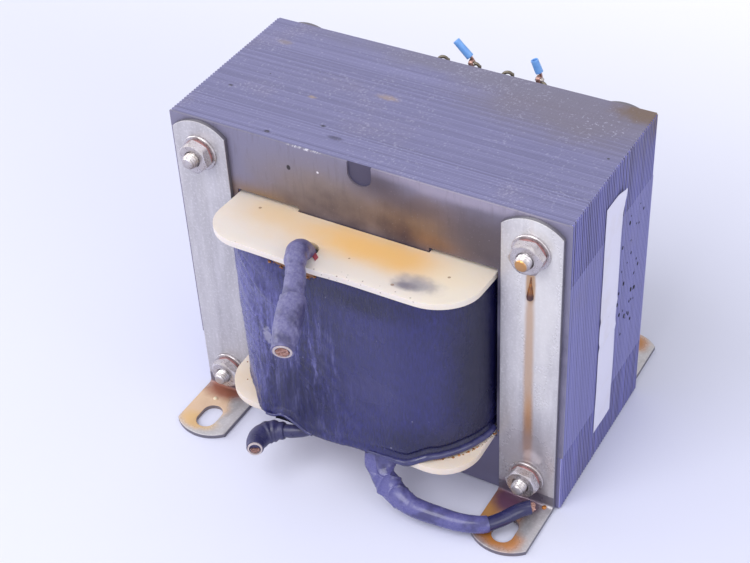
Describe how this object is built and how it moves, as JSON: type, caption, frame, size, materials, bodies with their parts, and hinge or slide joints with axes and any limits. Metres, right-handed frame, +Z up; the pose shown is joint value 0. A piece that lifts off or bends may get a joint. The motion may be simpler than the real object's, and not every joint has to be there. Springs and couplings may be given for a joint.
{
  "type": "open-frame power transformer",
  "caption": "Open-frame E-I core power transformer with a taped coil on a moulded bobbin, slotted angle feet, through bolts, cut lead stubs and wire-loop terminals.",
  "frame": {"origin": "on the ground under the middle of the core, at the centre of the footprint of the feet", "axes": "+X along the long side of the core, to the right seen from the lead side; +Y to the terminal side at the back; +Z up"},
  "size_m": [0.1334, 0.1414, 0.1125],
  "materials": {
    "core_steel": "varnished lamination edges",
    "front_plate_steel": "varnished, heat-stained",
    "zinc_strap": "dull zinc plate with varnish runs",
    "bolt_steel": "zinc plate, amber varnish tint",
    "nut_steel": "zinc plate",
    "washer_steel": "bright zinc plate",
    "red_fibre": "varnished fibre",
    "nylon": "aged cream moulding",
    "varnished_tape": "dark varnished tape",
    "tinned_wire": "dull tinned wire",
    "copper": "dull copper",
    "blue_sleeving": "light blue insulation",
    "lead_sleeving": "dark grey shrink sleeving",
    "cable_jacket": "smooth black jacket"
  },
  "bodies": {
    "root": {"front_plate": "front_plate_steel", "e_plates_up": "core_steel", "e_plates_down": "core_steel", "i_plates_top": "core_steel", "i_plates_bottom": "core_steel", "front_left_foot": "zinc_strap", "front_right_foot": "zinc_strap", "back_left_foot": "zinc_strap", "back_right_foot": "zinc_strap", "upper_left_bolt": "bolt_steel", "upper_right_bolt": "bolt_steel", "lower_left_bolt": "bolt_steel", "lower_right_bolt": "bolt_steel", "upper_left_nut": "nut_steel", "upper_right_nut": "nut_steel", "lower_left_nut": "nut_steel", "lower_right_nut": "nut_steel", "front_washers": "washer_steel", "fibre_washers": "red_fibre", "back_washers": "washer_steel", "bobbin": "nylon", "coil_wrap": "varnished_tape", "wrap_bulge": "varnished_tape", "terminal_loops": "tinned_wire", "long_sleeve_tail": "copper", "short_sleeve_tail": "copper", "long_blue_sleeve": "blue_sleeving", "short_blue_sleeve": "blue_sleeving", "top_lead": "lead_sleeving", "top_lead_sleeve": "lead_sleeving", "top_lead_copper": "copper", "left_lead": "lead_sleeving", "left_lead_sleeve": "lead_sleeving", "left_lead_copper": "copper", "right_lead_boot": "lead_sleeving", "right_lead_sleeve": "lead_sleeving", "right_lead_cable": "cable_jacket", "right_lead_copper": "copper"}
  },
  "joints": []
}
